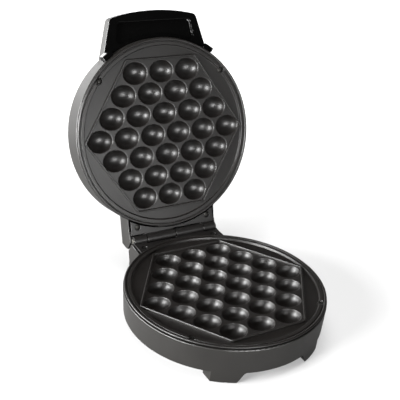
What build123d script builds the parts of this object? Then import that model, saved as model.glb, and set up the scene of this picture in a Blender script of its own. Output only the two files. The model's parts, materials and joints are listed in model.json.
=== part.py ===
from build123d import *
import math
import os

os.makedirs("parts", exist_ok=True)

# A mini bubble waffle maker, in millimetres.
# World frame: the floor is z = 0, Z runs up the middle of the open machine's outline, the front of the
# base is at -Y and the hinge lies along X behind the base's drum. The lid is drawn open.
#
# Both halves are drawn in the same half coordinates, with their origin where the drum's axis crosses the
# plane in which the two halves meet: X across, Y towards the handle, Z away from that plane, into the half.

# Overall sizes
mate_height = 41.5
rim_radius = 99.6
hinge_gap = 9.4
hinge_reach = rim_radius + hinge_gap
open_angle = 106.5
skin = 2.4

# Hollows of the cooking plate, as shares of the rim's radius, and their lift and wall
row_counts = (3, 4, 5, 6, 5, 4, 3)
cavity_pitch = 0.3012 * rim_radius
row_pitch = 0.2189 * rim_radius
cavity_length = 0.2691 * rim_radius
cavity_width = 0.2239 * rim_radius
cavity_lift = 0.65
cavity_wall = 1.7

# Levels and widths of the cooking plate, from the rim inwards
bead_drop = 0.2
bead_height = 2.0
bead_width = 2.7
groove_width = 1.0
groove_drop = 1.2
land_width = 3.3
land_drop = 0.5
step_run = 0.6
flat_drop = 2.9
plate_floor = 2.6
skirt_wall = 1.8
skirt_inset = 2.6
skirt_depth = 8.0

# Hexagon ridge round the hollows, with its distances from them as shares of the rim's radius
ridge_width = 1.8
ridge_drop = 0.6
ridge_end_margin = 0.1677 * rim_radius
ridge_side_margin = 0.1396 * rim_radius
ridge_corner_margin = 0.0954 * rim_radius
ridge_round = 0.6
casting_root = 0.3

# Housing walls of both drums
edge_gap = 1.2
edge_overhang = 0.6
edge_round = 0.8
wall_bite = 0.7 * skin
base_wall_depth = 29.5
base_draft_run = 1.3
lid_wall_depth = 35.3
lid_draft_run = 1.6
lid_crown_rise = 4.2
lid_edge_round = 5.0

# Screw columns inside the drums, and the plates' screws
column_circle = rim_radius - 6.5
column_angle = 49.0
column_radius = 4.8
recess_radius = 3.5
recess_depth = 2.8
hole_play = 0.2
thread_play = 0.1
plate_shank = 1.6
plate_head = 3.0
plate_head_height = 1.9
plate_screw_length = 11.0
peg_radius = 2.4
peg_length = 7.5
peg_play = 0.25
socket_length = 8.5

# Heating element, its clamps and the heat shield
seat_play = 0.2
element_radius = 0.6024 * rim_radius
element_tube = 3.25
element_rear_gap = 20.0
element_bend = 9.0
element_tail = 14.0
element_pin = 1.25
element_pin_length = 6.0
post_radius = 2.8
post_spots = (
    (0.0, row_pitch * 7 / 3),
    (cavity_pitch * 1.5, -row_pitch * 4 / 3),
    (-cavity_pitch * 1.5, -row_pitch * 4 / 3),
)
strap_thickness = 1.0
strap_width = 7.0
strap_lip = 0.6
shield_radius = rim_radius - 15.6
shield_thickness = 0.6
shield_rim = 4.0
shield_eye = 10.5
shield_tail_gap = 44.0
small_shank = 1.4
small_head = 2.6
small_head_height = 1.6
small_screw_length = 7.0

# Thermostat on the lower plate
pad_length = 32.0
pad_width = 14.0
pad_rise = 0.9
thermostat_radius = 8.0
thermostat_height = 7.4
thermostat_flange = 0.8
thermostat_flange_length = 29.0
thermostat_flange_width = 9.0
thermostat_screw_reach = 11.5
thermostat_screw_length = 5.0
terminal_reach = 5.5
terminal_side = 4.0
terminal_height = 1.9

# Thermal fuse on the lower plate
fuse_radius = 1.9
fuse_length = 12.0
fuse_spot = (-27.0, 15.6 - rim_radius)
fuse_lead = 0.7
fuse_lead_length = 2.5
fuse_post_radius = 2.6
fuse_post_reach = 5.5
clip_thickness = 0.8
clip_width = 6.0
clip_length = 12.5

# Hinge leaves and pin
leaf_half = 49.5
leaf_drop = 2.0
leaf_thickness = 2.6
leaf_front_gap = 0.9
knuckle_radius = 4.8
knuckle_step = 34.2
knuckle_gap = 0.4
slot_play = 0.8
pin_radius = 2.5
pin_play = 0.05
pin_overhang = 0.5
leaf_screw_half = 42.0
leaf_screw_reach = hinge_reach - 13.6
leaf_recess_radius = 3.3
leaf_recess_depth = 1.6
leaf_head = 3.0
leaf_head_height = 1.3
leaf_screw_length = 8.0

# Hinge boxes behind the drums
arm_half = 52.0
arm_thickness = 1.5
arm_drop = 3.5
box_depth = 24.0
box_side = 3.0
base_apex_reach = hinge_reach - 1.5
base_apex_drop = 2.7
base_bevel_reach = hinge_reach + 5.0
base_bevel_drop = 13.8
base_foot_reach = hinge_reach + 2.0
lid_apex_reach = hinge_reach + 1.0
lid_apex_drop = 1.4
lid_bevel_reach = hinge_reach + 10.5
lid_bevel_drop = 10.6
lid_shoulder_reach = hinge_reach + 9.4
lid_shoulder_drop = 16.4
lid_foot_reach = hinge_reach + 6.6
trough_play = 0.4
leaf_boss_radius = 4.6
leaf_boss_depth = 14.0
window_inner = 8.0
window_outer = 28.0
window_top = 8.5

# Feet, floor cover and its screws
foot_clearance = 0.8
foot_root_gap = 0.3
foot_thickness = 10.0
foot_outer_half = 59.0
foot_inner_half = 37.5
foot_inner_slope = 6.4
foot_flare = 3.2
foot_flare_height = 2.4
rear_foot_inner_half = 32.0
pad_sink = 0.8
pad_long = 15.0
pad_short = 6.0
cover_play = 0.4
cover_drop = 27.0
cover_thickness = 2.0
cover_screw_length = 9.0
vent_long = 26.0
vent_short = 2.6
vent_pitch = 7.0
vent_count = 5
vent_reach = 42.0

# Terminal blocks and the mains inlet
block_long = 36.0
block_thick = 6.0
block_height = 8.0
block_reach = hinge_reach - 5.2
block_top = 9.3
block_screw_half = 5.0
block_post_radius = 2.4
block_chamfer = 0.5
block_head = 2.0
block_head_height = 1.2
block_shank = 1.2
block_screw_length = 10.5
inlet_drop = 19.2
inlet_flange = 4.3
inlet_flange_thickness = 1.5
inlet_neck = 3.2
inlet_nose = 3.0
inlet_tip = 2.3
inlet_length = 8.0
inlet_bore = 1.6
inlet_play = 0.1

# Handle
handle_reach = rim_radius + 28.4
handle_front_radius = 200.0
handle_half = 0.507 * rim_radius
handle_half_reach = rim_radius + 18.0
handle_flare = 0.28
handle_root = rim_radius - 24.6
handle_corner = 6.0
handle_face = 11.5
handle_cover_edge = 1.5
handle_back = 28.0
handle_back_round = 5.5
handle_face_round = 0.8
handle_wall = 2.5
cover_wall_gap = 0.3
grip_half = 0.4518 * rim_radius
grip_half_reach = rim_radius + 1.4
grip_reach = rim_radius + 18.4
grip_taper = 0.21
grip_wall_gap = 3.4
grip_corner = 5.0
grip_depth = 3.0
grip_wall = 1.5
shoulder_width = 5.4
shoulder_inner_angle = 31.0
shoulder_outer_angle = 37.4
shoulder_drop = 3.5
shoulder_round = 1.2
snap_half = 0.502 * rim_radius
snap_reach = rim_radius + 0.4
snap_radius = 2.0
snap_length = 7.0
snap_play = 0.15
snap_boss_radius = 3.6

# Indicator lamps in the lid
lamp_half = 9.0
lamp_reach = rim_radius - 27.6
lens_radius = 3.0
lens_play = 0.15
lens_flange = 0.4
lens_flange_thickness = 1.0
lens_proud = 0.8
lens_round = 0.7
lamp_radius = 3.1
lamp_length = 4.5
lamp_boss_wall = 1.3
lamp_boss_length = 5.0

# Wires, and the spots that their runs pass
wire_radius = 0.9
wire_bend = 2.6
wire_straight = 5.0
lamp_wire_run = ((12.0, 35.0), (8.5, 0.0), (11.0, -42.0))
lamp_wire_half = 10.0
thermostat_wire_spot = (-12.0, -45.0)
fuse_wire_run = ((-2.0, -50.0), (-7.5, fuse_spot[1] - 3))
live_wire_half = 16.5

# The two halves. The outline runs from the front of the base's rim to the back edge of the open handle.
lean = math.radians(open_angle - 90)
front_reach = rim_radius + edge_overhang
rear_reach = (
    hinge_reach
    + (hinge_reach + handle_reach - handle_back_round) * math.sin(lean)
    + (handle_back - handle_back_round) * math.cos(lean)
    + handle_back_round
)
drum_axis = (front_reach - rear_reach) / 2
hinge_point = Vector(0, drum_axis + hinge_reach, mate_height)
base_half = Plane(origin=(0, drum_axis, mate_height), x_dir=(1, 0, 0), z_dir=(0, 0, -1))
under_half = Plane(origin=base_half.origin, x_dir=(1, 0, 0), z_dir=(0, 0, 1))
lid_half = Plane(
    origin=hinge_point + Vector(0, -hinge_reach, 0).rotate(Axis.X, -open_angle),
    x_dir=(-1, 0, 0),
    z_dir=Vector(0, 0, 1).rotate(Axis.X, -open_angle),
)

# Values that follow from the sizes above
bead_inner = rim_radius - bead_width
groove_inner = bead_inner - groove_width
step_outer = groove_inner - land_width
flat_radius = step_outer - step_run
plate_back = flat_drop + plate_floor
skirt_outer = rim_radius - skirt_inset
skirt_inner = skirt_outer - skirt_wall
cavity_level = flat_drop - cavity_lift
bump_tip = cavity_level + cavity_width / 2 + cavity_wall
recess_level = land_drop + recess_depth
edge_level = bead_drop + bead_height + edge_gap
wall_top_outer = rim_radius + edge_overhang
element_level = bump_tip + seat_play + element_tube
post_level = element_level + element_tube + seat_play
shield_level = post_level + strap_thickness
shield_back = shield_level + shield_thickness
pad_level = bump_tip + pad_rise
deck_level = leaf_drop + leaf_thickness
last_row = (len(row_counts) - 1) / 2


def around(radius, *angles):
    """Points at a radius, at angles in degrees from the handle line."""
    return [(radius * math.sin(math.radians(a)), radius * math.cos(math.radians(a))) for a in angles]


def nearest(vertices, spot):
    """The vertex that lies nearest to a spot."""
    return vertices.sort_by_distance(spot)[0]


def save(piece, name):
    """Label a finished piece and write it."""
    piece.part.label = name
    export_step(piece.part, f"parts/{name}.step")


plate_screw_spots = around(column_circle, column_angle, -column_angle)
column_spots = around(
    column_circle, column_angle, -column_angle, 180 - column_angle, column_angle - 180
)
socket_spot = (0, -column_circle)
leaf_screw_spots = ((leaf_screw_half, -leaf_screw_reach), (-leaf_screw_half, -leaf_screw_reach))
block_screw_spots = ((block_screw_half, -block_reach), (-block_screw_half, -block_reach))
cavity_spots = [
    ((place - (count - 1) / 2) * cavity_pitch, (row - last_row) * row_pitch)
    for row, count in enumerate(row_counts)
    for place in range(count)
]
fuse_post_spot = (fuse_spot[0], fuse_spot[1] - fuse_post_reach)
fuse_level = plate_back + seat_play + fuse_radius
fuse_post_level = fuse_level + fuse_radius + seat_play


# Shapes that both halves share


def spheroid(length, width):
    """A rounded body that is longer across, along X, than it is wide and deep."""
    with BuildPart() as body:
        with BuildSketch():
            with BuildLine():
                half = EllipticalCenterArc((0, 0), length / 2, width / 2, 0, arc_size=180)
                Line(half @ 1, half @ 0)
            make_face()
        revolve(axis=Axis.X)
    return body.part


def screw(head, head_height, shank, length):
    """A pan-head screw with a cross slot, seated at the origin with its shank along +Z."""
    tip = shank / 2
    slot_wide = head * 0.25
    slot_long = head * 1.1
    slot_deep = head_height * 0.5
    with BuildPart() as body:
        with BuildSketch(Plane.XZ):
            with BuildLine():
                crown = ThreePointArc(
                    (0, -head_height), (head * 0.6, -head_height * 0.85), (head, -head_height * 0.4)
                )
                Polyline(
                    crown @ 1, (head, 0), (shank, 0), (shank, length - tip), (tip, length), (0, length),
                    crown @ 0,
                )
            make_face()
        revolve(axis=Axis.Z)
        with BuildSketch(Plane.XY.offset(-head_height)):
            Rectangle(slot_long, slot_wide)
            Rectangle(slot_wide, slot_long)
        extrude(amount=slot_deep, mode=Mode.SUBTRACT)
    return body.part


def strap(spot, reach, level):
    """A flat strap from its screw post out over the heating tube, on a line from the drum's axis."""
    angle = math.degrees(math.atan2(spot[1], spot[0]))
    post_distance = math.hypot(*spot)
    start = post_distance - strap_width / 2
    middle = (start + reach) / 2
    with BuildPart() as body:
        with BuildSketch(Plane.XY.offset(level)):
            with Locations((middle * spot[0] / post_distance, middle * spot[1] / post_distance)):
                SlotOverall(reach - start, strap_width, rotation=angle)
            with Locations(spot):
                Circle(small_shank + hole_play, mode=Mode.SUBTRACT)
        extrude(amount=strap_thickness)
    return body.part


def wire(*points):
    """A wire through points, with a bend at each of them."""
    with BuildPart() as body:
        with BuildLine():
            path = FilletPolyline(*points, radius=wire_bend)
        with BuildSketch(Plane(origin=path @ 0, z_dir=path % 0)):
            Circle(wire_radius)
        sweep()
    return body.part


# Cooking plate
# A casting with thirty hollows, their bumps on the back, a hexagon ridge, a step up to the land, a groove
# and the rim bead, and on the back a skirt, a locating peg, screw posts and the thermostat's pad.
bump_start = plate_back - casting_root - cavity_level
with BuildPart() as bump:
    add(spheroid(cavity_length + 2 * cavity_wall, cavity_width + 2 * cavity_wall))
    split(bisect_by=Plane.XY.offset(bump_start), keep=Keep.TOP)

hollow = spheroid(cavity_length, cavity_width)

ridge_end = (max(row_counts) - 1) / 2 * cavity_pitch + ridge_end_margin
ridge_side = last_row * row_pitch + ridge_side_margin
ridge_corner = (row_counts[0] - 1) / 2 * cavity_pitch + ridge_corner_margin
ridge_corners = (
    (ridge_end, 0),
    (ridge_corner, ridge_side),
    (-ridge_corner, ridge_side),
    (-ridge_end, 0),
    (-ridge_corner, -ridge_side),
    (ridge_corner, -ridge_side),
)
bead_middle = rim_radius - bead_width / 2
bead_bottom = bead_drop + bead_height
bead_turn = 0.3

with BuildPart() as cooking_plate:
    with BuildSketch(Plane.XY.offset(ridge_drop)):
        Polygon(*ridge_corners, align=None)
        offset(amount=ridge_width / 2)
        offset(amount=-ridge_width, mode=Mode.SUBTRACT)
    extrude(amount=flat_drop + casting_root - ridge_drop)
    fillet(cooking_plate.edges().group_by(Axis.Z)[0], radius=ridge_round)
    with BuildSketch(Plane.XZ):
        with BuildLine():
            crest = ThreePointArc(
                (bead_inner, groove_drop), (bead_middle, bead_drop), (rim_radius, groove_drop)
            )
            under = ThreePointArc(
                crest @ 1, (rim_radius - bead_turn, bead_bottom - bead_turn), (bead_middle, bead_bottom)
            )
            Polyline(
                under @ 1, (skirt_outer, bead_bottom), (skirt_outer, skirt_depth),
                (skirt_inner, skirt_depth), (skirt_inner, plate_back), (0, plate_back), (0, flat_drop),
                (flat_radius, flat_drop), (step_outer, land_drop), (groove_inner, land_drop),
                (groove_inner, groove_drop), crest @ 0,
            )
        make_face()
    revolve(axis=Axis.Z)
    with Locations(*[(u, v, cavity_level) for u, v in cavity_spots]):
        add(bump.part, clean=False)
    with BuildSketch(Plane.XY.offset(plate_back)):
        with Locations(*column_spots, socket_spot):
            Circle(column_radius + cover_play)
    extrude(amount=skirt_depth - plate_back, mode=Mode.SUBTRACT)
    with BuildSketch(Plane.XY.offset(plate_back - casting_root)):
        with Locations(*post_spots):
            Circle(post_radius)
    extrude(amount=post_level - plate_back + casting_root)
    with BuildSketch(Plane.XY.offset(plate_back - casting_root)):
        with Locations(fuse_post_spot):
            Circle(fuse_post_radius)
    extrude(amount=fuse_post_level - plate_back + casting_root)
    with BuildSketch(Plane.XY.offset(plate_back - casting_root)):
        with Locations(socket_spot):
            Circle(peg_radius)
    extrude(amount=peg_length + casting_root)
    with BuildSketch(Plane.XY.offset(plate_back - casting_root)):
        SlotOverall(pad_length, pad_width, rotation=90)
    extrude(amount=pad_level - plate_back + casting_root)
    with Locations(*[(u, v, cavity_level) for u, v in cavity_spots]):
        add(hollow, clean=False, mode=Mode.SUBTRACT)
    with BuildSketch():
        with Locations(*plate_screw_spots):
            Circle(recess_radius)
    extrude(amount=recess_level, mode=Mode.SUBTRACT)
    with BuildSketch():
        with Locations(*plate_screw_spots):
            Circle(plate_shank + hole_play)
    extrude(amount=plate_back + 1, mode=Mode.SUBTRACT)
    with BuildSketch(Plane.XY.offset(post_level)):
        with Locations(*post_spots):
            Circle(small_shank + thread_play)
    extrude(amount=-small_screw_length, mode=Mode.SUBTRACT)
    with BuildSketch(Plane.XY.offset(fuse_post_level)):
        with Locations(fuse_post_spot):
            Circle(small_shank + thread_play)
    extrude(amount=plate_back - fuse_post_level, mode=Mode.SUBTRACT)
    with BuildSketch(Plane.XY.offset(pad_level)):
        with Locations((0, thermostat_screw_reach), (0, -thermostat_screw_reach)):
            Circle(small_shank + thread_play)
    extrude(amount=-thermostat_screw_length, mode=Mode.SUBTRACT)

# Heating element: a round tube behind the plate's bumps, with two cold pins at the back
with BuildPart() as element:
    with BuildLine(Plane.XY.offset(element_level)):
        ring = CenterArc(
            (0, 0), element_radius, element_rear_gap - 90, 360 - 2 * element_rear_gap
        )
        first_bend = JernArc(ring @ 1, ring % 1, element_bend, element_rear_gap - 90)
        Line(first_bend @ 1, (first_bend @ 1) + Vector(0, -element_tail, 0))
        second_bend = JernArc(ring @ 0, (ring % 0) * -1, element_bend, 90 - element_rear_gap)
        Line(second_bend @ 1, (second_bend @ 1) + Vector(0, -element_tail, 0))
    with BuildSketch(Plane(origin=ring @ 0.5, z_dir=ring % 0.5)):
        Circle(element_tube)
    sweep()
    pin_spots = [(end.X, end.Z) for end in (first_bend @ 1, second_bend @ 1)]
    tail_end = (first_bend @ 1).Y - element_tail
    with BuildSketch(Plane.XZ.offset(-tail_end - 2)):
        with Locations(*pin_spots):
            Circle(element_pin)
    extrude(amount=element_pin_length + 2)
pin_half = abs(pin_spots[0][0])
pin_end = tail_end - element_pin_length

strap_reach = element_radius + element_tube + strap_lip
with BuildPart() as element_clamps:
    for spot in post_spots:
        add(strap(spot, strap_reach, post_level))

# Heat shield: a shallow pan of sheet behind the element
with BuildPart() as heat_shield:
    with BuildSketch(Plane.XY.offset(shield_back)):
        Circle(shield_radius)
    extrude(amount=-shield_rim)
    with BuildSketch(Plane.XY.offset(shield_level)):
        Circle(shield_radius - shield_thickness)
    extrude(amount=-shield_rim, mode=Mode.SUBTRACT)
    with BuildSketch(Plane.XY.offset(shield_back)):
        Circle(shield_eye)
        with Locations(*post_spots):
            Circle(small_shank + hole_play)
    extrude(amount=-shield_rim, mode=Mode.SUBTRACT)
    with BuildSketch(Plane.XY.offset(shield_level)):
        with Locations((0, -shield_radius)):
            Rectangle(shield_tail_gap, shield_radius / 2)
    extrude(amount=-shield_rim, mode=Mode.SUBTRACT)

# Hinge leaf: both leaves are the same, each with one short and one long knuckle
leaf_front = wall_top_outer + leaf_front_gap
slot_reach = hinge_reach - knuckle_radius - slot_play
own_knuckles = (
    (-leaf_half, -knuckle_step - knuckle_gap),
    (knuckle_gap, knuckle_step - knuckle_gap),
)
leaf_slots = ((-knuckle_step - knuckle_gap, knuckle_gap), (knuckle_step - knuckle_gap, leaf_half + 1))
with BuildPart() as hinge_leaf:
    with BuildSketch(Plane.XY.offset(leaf_drop)):
        with Locations((0, -hinge_reach)):
            Rectangle(2 * leaf_half, hinge_reach, align=(Align.CENTER, Align.MIN))
        Circle(leaf_front, mode=Mode.SUBTRACT)
        for start, stop in leaf_slots:
            with Locations(((start + stop) / 2, -slot_reach)):
                Rectangle(stop - start, hinge_reach,
                          align=(Align.CENTER, Align.MAX), mode=Mode.SUBTRACT)
    extrude(amount=leaf_thickness)
    for start, stop in own_knuckles:
        with BuildSketch(Plane.YZ.offset(start)):
            with Locations((-hinge_reach, 0)):
                Circle(knuckle_radius)
        extrude(amount=stop - start)
    with BuildSketch(Plane.YZ):
        with Locations((-hinge_reach, 0)):
            Circle(pin_radius + pin_play)
    extrude(amount=leaf_half + 1, both=True, mode=Mode.SUBTRACT)
    with BuildSketch(Plane.XY.offset(leaf_drop)):
        with Locations(*leaf_screw_spots):
            Circle(leaf_recess_radius)
    extrude(amount=leaf_recess_depth, mode=Mode.SUBTRACT)
    with BuildSketch(Plane.XY.offset(leaf_drop)):
        with Locations(*leaf_screw_spots):
            Circle(plate_shank + hole_play)
    extrude(amount=leaf_thickness, mode=Mode.SUBTRACT)

plate_screw = screw(plate_head, plate_head_height, plate_shank, plate_screw_length)
leaf_screw = screw(leaf_head, leaf_head_height, plate_shank, leaf_screw_length)
small_screw = screw(small_head, small_head_height, small_shank, small_screw_length)
thermostat_screw = screw(small_head, small_head_height, small_shank, thermostat_screw_length)
block_screw = screw(block_head, block_head_height, block_shank, block_screw_length)

# Terminal block: a bar with screw posts below it
with BuildPart() as terminal_block:
    with BuildSketch(Plane.XY.offset(block_top)):
        with Locations((0, -block_reach)):
            Rectangle(block_long, block_thick)
        with Locations(*block_screw_spots):
            Circle(small_shank + hole_play, mode=Mode.SUBTRACT)
    extrude(amount=block_height)
    chamfer(terminal_block.edges().filter_by(Axis.Z).filter_by(GeomType.LINE), length=block_chamfer)


def hinge_box(outline, floor_level):
    """The hollow box behind a drum that carries a hinge leaf between its two side arms."""
    with BuildPart() as box:
        with BuildSketch(Plane.YZ):
            Polygon(*outline, align=None)
        extrude(amount=arm_half, both=True)
        with BuildSketch(Plane.YZ):
            Polygon(*outline, align=None)
            offset(amount=-skin, kind=Kind.INTERSECTION)
            with Locations((0, deck_level + skin)):
                Rectangle(4 * hinge_reach, hinge_reach, align=(Align.CENTER, Align.MAX),
                          mode=Mode.SUBTRACT)
        extrude(amount=arm_half - box_side, both=True, mode=Mode.SUBTRACT)
        with BuildSketch(Plane.XY.offset(deck_level)):
            with Locations(*leaf_screw_spots):
                Circle(leaf_boss_radius)
        extrude(amount=leaf_boss_depth - deck_level)
        with BuildSketch(Plane.XY.offset(block_top + block_height)):
            with Locations(*block_screw_spots):
                Circle(block_post_radius)
        extrude(amount=floor_level - block_top - block_height - skin / 2)
        with BuildSketch(Plane.XY.offset(deck_level)):
            Rectangle(2 * arm_half - 2 * arm_thickness, 4 * hinge_reach)
            Circle(wall_top_outer - trough_play, mode=Mode.SUBTRACT)
        extrude(amount=-2 * deck_level, mode=Mode.SUBTRACT)
        with BuildSketch(Plane.YZ):
            with Locations((-hinge_reach, 0)):
                Circle(knuckle_radius + trough_play)
        extrude(amount=arm_half - arm_thickness, both=True, mode=Mode.SUBTRACT)
        with BuildSketch():
            Circle(wall_top_outer - wall_bite)
        extrude(amount=2 * box_depth, mode=Mode.SUBTRACT)
        with BuildSketch(Plane.XY.offset(deck_level)):
            with Locations(*leaf_screw_spots):
                Circle(plate_shank + thread_play)
        extrude(amount=leaf_boss_depth - deck_level - 1, mode=Mode.SUBTRACT)
        with BuildSketch(Plane.XY.offset(block_top + block_height)):
            with Locations(*block_screw_spots):
                Circle(block_shank + thread_play)
        extrude(amount=block_screw_length - block_height + hole_play, mode=Mode.SUBTRACT)
    return box.part


def wall_windows():
    """Two windows from the drum into the hinge box, for the wires."""
    with BuildPart() as windows:
        with BuildSketch(Plane.XY.offset(window_top)):
            with Locations((-(window_inner + window_outer) / 2, -rim_radius + skin),
                           ((window_inner + window_outer) / 2, -rim_radius + skin)):
                Rectangle(window_outer - window_inner, 6 * skin)
        extrude(amount=box_depth - skin - window_top)
    return windows.part


# Base housing: the drum wall, its screw columns, the hinge box and four feet


def base_wall_radius(level):
    """The outer radius of the base's wall at a level."""
    return wall_top_outer - base_draft_run * (level - edge_level) / (base_wall_depth - edge_level)


base_box_outline = (
    (-rim_radius / 2, arm_drop),
    (-rim_radius, arm_drop),
    (-base_apex_reach, base_apex_drop),
    (-base_bevel_reach, base_bevel_drop),
    (-base_foot_reach, box_depth),
    (-rim_radius / 2, box_depth),
)
foot_level = mate_height - foot_clearance
foot_top = cover_drop + cover_thickness + foot_root_gap
foot_middle = base_wall_radius(foot_level) - foot_thickness / 2

with BuildPart() as front_feet:
    for side in (1, -1):
        with BuildSketch(Plane.XZ.offset(-rim_radius / 2)):
            with BuildLine():
                inner = Line(
                    (side * foot_inner_half, foot_level),
                    (side * (foot_inner_half - foot_inner_slope + foot_flare / 2),
                     foot_top + foot_flare_height),
                )
                flare = TangentArc(
                    inner @ 1,
                    (side * (foot_inner_half - foot_inner_slope - foot_flare / 2), foot_top),
                    tangent=inner % 1,
                )
                Polyline(
                    flare @ 1, (side * foot_outer_half, foot_top), (side * foot_outer_half, foot_level),
                    inner @ 0,
                )
            make_face()
        extrude(amount=-rim_radius)
    with BuildSketch(Plane.XZ):
        with BuildLine():
            Polyline(
                (base_wall_radius(foot_top), foot_top),
                (base_wall_radius(foot_level), foot_level),
                (base_wall_radius(foot_level) - foot_thickness, foot_level),
                (base_wall_radius(foot_top) - foot_thickness, foot_top),
                close=True,
            )
        make_face()
    revolve(axis=Axis.Z, mode=Mode.INTERSECT)

rear_foot_half = (arm_half + rear_foot_inner_half) / 2
with BuildPart() as rear_feet:
    with BuildSketch(Plane.XY.offset(box_depth - skin / 2)):
        with Locations((rear_foot_half, -base_foot_reach), (-rear_foot_half, -base_foot_reach)):
            Rectangle(arm_half - rear_foot_inner_half, rim_radius / 2, align=(Align.CENTER, Align.MIN))
        Circle(wall_top_outer - wall_bite, mode=Mode.SUBTRACT)
    extrude(amount=foot_level - box_depth + skin / 2)

front_pad_half = (foot_outer_half + foot_inner_half) / 2
front_pad_angle = math.degrees(math.asin(front_pad_half / foot_middle))
rear_pad_reach = base_foot_reach - (arm_half - rear_foot_inner_half) / 2
front_pad_spots = around(foot_middle, front_pad_angle, -front_pad_angle)
rear_pad_spots = ((rear_foot_half, -rear_pad_reach), (-rear_foot_half, -rear_pad_reach))


def pad_plan(grow):
    """The outlines of the four foot pads, grown by a play."""
    with BuildSketch() as plan:
        for (u, v), turn in zip(front_pad_spots, (-front_pad_angle, front_pad_angle)):
            with Locations((u, v)):
                SlotOverall(pad_long + 2 * grow, pad_short + 2 * grow, rotation=turn)
        with Locations(*rear_pad_spots):
            SlotOverall(pad_long + 2 * grow, pad_short + 2 * grow)
    return plan.sketch


inlet_slope = math.degrees(
    math.atan2(base_bevel_reach - base_foot_reach, box_depth - base_bevel_drop)
)
inlet_reach = base_bevel_reach - (inlet_drop - base_bevel_drop) * math.tan(math.radians(inlet_slope))
inlet_plane = Plane(
    origin=(0, -inlet_reach, inlet_drop),
    x_dir=(1, 0, 0),
    z_dir=(0, -math.cos(math.radians(inlet_slope)), math.sin(math.radians(inlet_slope))),
)

with BuildPart() as base_body:
    with BuildSketch(Plane.XZ) as wall_section:
        with BuildLine():
            Polyline(
                (wall_top_outer - skin, edge_level),
                (wall_top_outer, edge_level),
                (wall_top_outer - base_draft_run, base_wall_depth),
                (wall_top_outer - base_draft_run - skin, base_wall_depth),
                close=True,
            )
        make_face()
        fillet(nearest(wall_section.vertices(), (wall_top_outer, edge_level)), edge_round)
    revolve(axis=Axis.Z)
    with BuildSketch(Plane.XY.offset(plate_back)):
        with Locations(*column_spots):
            Circle(column_radius)
    extrude(amount=cover_drop - plate_back)
    with BuildSketch(Plane.XY.offset(plate_back)):
        with Locations(socket_spot):
            Circle(column_radius)
    extrude(amount=socket_length)
    add(hinge_box(base_box_outline, box_depth))
    add(front_feet.part)
    add(rear_feet.part)
    add(wall_windows(), mode=Mode.SUBTRACT)
    with BuildSketch(Plane.XY.offset(plate_back)):
        with Locations(*plate_screw_spots):
            Circle(plate_shank + thread_play)
        with Locations(socket_spot):
            Circle(peg_radius + peg_play)
    extrude(amount=plate_screw_length, mode=Mode.SUBTRACT)
    with BuildSketch(Plane.XY.offset(cover_drop)):
        with Locations(*column_spots):
            Circle(plate_shank + thread_play)
    extrude(amount=-cover_screw_length, mode=Mode.SUBTRACT)
    with BuildSketch(Plane.XY.offset(foot_level)):
        add(pad_plan(seat_play))
    extrude(amount=-pad_sink, mode=Mode.SUBTRACT)
    with BuildSketch(inlet_plane.offset(-1.5 * skin)):
        Circle(inlet_neck + inlet_play)
    extrude(amount=3 * skin, mode=Mode.SUBTRACT)

with BuildPart(base_half) as base_housing:
    add(base_body.part, clean=False)
save(base_housing, "base_housing")

with BuildPart(base_half) as foot_pads:
    with BuildSketch(base_half.offset(foot_level - pad_sink)):
        add(pad_plan(0))
    extrude(amount=foot_clearance + pad_sink)
save(foot_pads, "foot_pads")

# Floor cover: a disc under the drum with two rows of air slots
with BuildPart(base_half) as base_cover:
    with BuildSketch(base_half.offset(cover_drop)):
        Circle(wall_top_outer - base_draft_run - skin - cover_play)
        with Locations(*column_spots):
            Circle(plate_shank + hole_play, mode=Mode.SUBTRACT)
        with Locations((0, vent_reach), (0, -vent_reach)):
            with GridLocations(0, vent_pitch, 1, vent_count):
                SlotOverall(vent_long, vent_short, mode=Mode.SUBTRACT)
    extrude(amount=cover_thickness)
save(base_cover, "base_cover")

cover_screw = screw(plate_head, plate_head_height, plate_shank, cover_screw_length)
with BuildPart(under_half) as base_cover_screws:
    with Locations(*[(u, v, -cover_drop - cover_thickness) for u, v in column_spots]):
        add(cover_screw)
save(base_cover_screws, "base_cover_screws")

# Mains inlet bush in the sloping back wall of the base's hinge box
with BuildPart() as inlet_body:
    with BuildSketch(inlet_plane):
        Circle(inlet_flange)
    extrude(amount=inlet_flange_thickness)
    with BuildSketch(inlet_plane.offset(inlet_flange_thickness)):
        Circle(inlet_nose)
    with BuildSketch(inlet_plane.offset(inlet_length)):
        Circle(inlet_tip)
    loft()
    with BuildSketch(inlet_plane):
        Circle(inlet_neck)
    extrude(amount=-skin - 1)
    with BuildSketch(inlet_plane.offset(inlet_length)):
        Circle(inlet_bore)
    extrude(amount=-2 * inlet_length, mode=Mode.SUBTRACT)

with BuildPart(base_half) as cord_inlet_bush:
    add(inlet_body.part)
save(cord_inlet_bush, "cord_inlet_bush")

# Lid housing: the drum wall and dome, its screw columns, the hinge box and the handle's body
lid_box_outline = (
    (-rim_radius / 2, arm_drop),
    (-rim_radius, arm_drop),
    (-lid_apex_reach, lid_apex_drop),
    (-lid_bevel_reach, lid_bevel_drop),
    (-lid_shoulder_reach, lid_shoulder_drop),
    (-lid_foot_reach, box_depth),
    (-rim_radius / 2, box_depth),
)
crown_level = lid_wall_depth + lid_crown_rise
lid_edge_outer = wall_top_outer - lid_draft_run
cover_back = handle_face + handle_cover_edge


def dome_level(radius):
    """The level of the dome's outside at a radius."""
    return crown_level - lid_crown_rise * (radius / lid_edge_outer) ** 2


lamp_level = dome_level(math.hypot(lamp_half, lamp_reach))
lens_seat = lamp_level - skin / 2
lamp_face = lens_seat - lens_flange_thickness
lamp_end = lamp_face - lamp_length
lamp_bore = lens_radius + lens_flange + lens_play
lamp_spots = ((lamp_half, lamp_reach), (-lamp_half, lamp_reach))
snap_spots = ((snap_half, snap_reach), (-snap_half, snap_reach))


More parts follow.
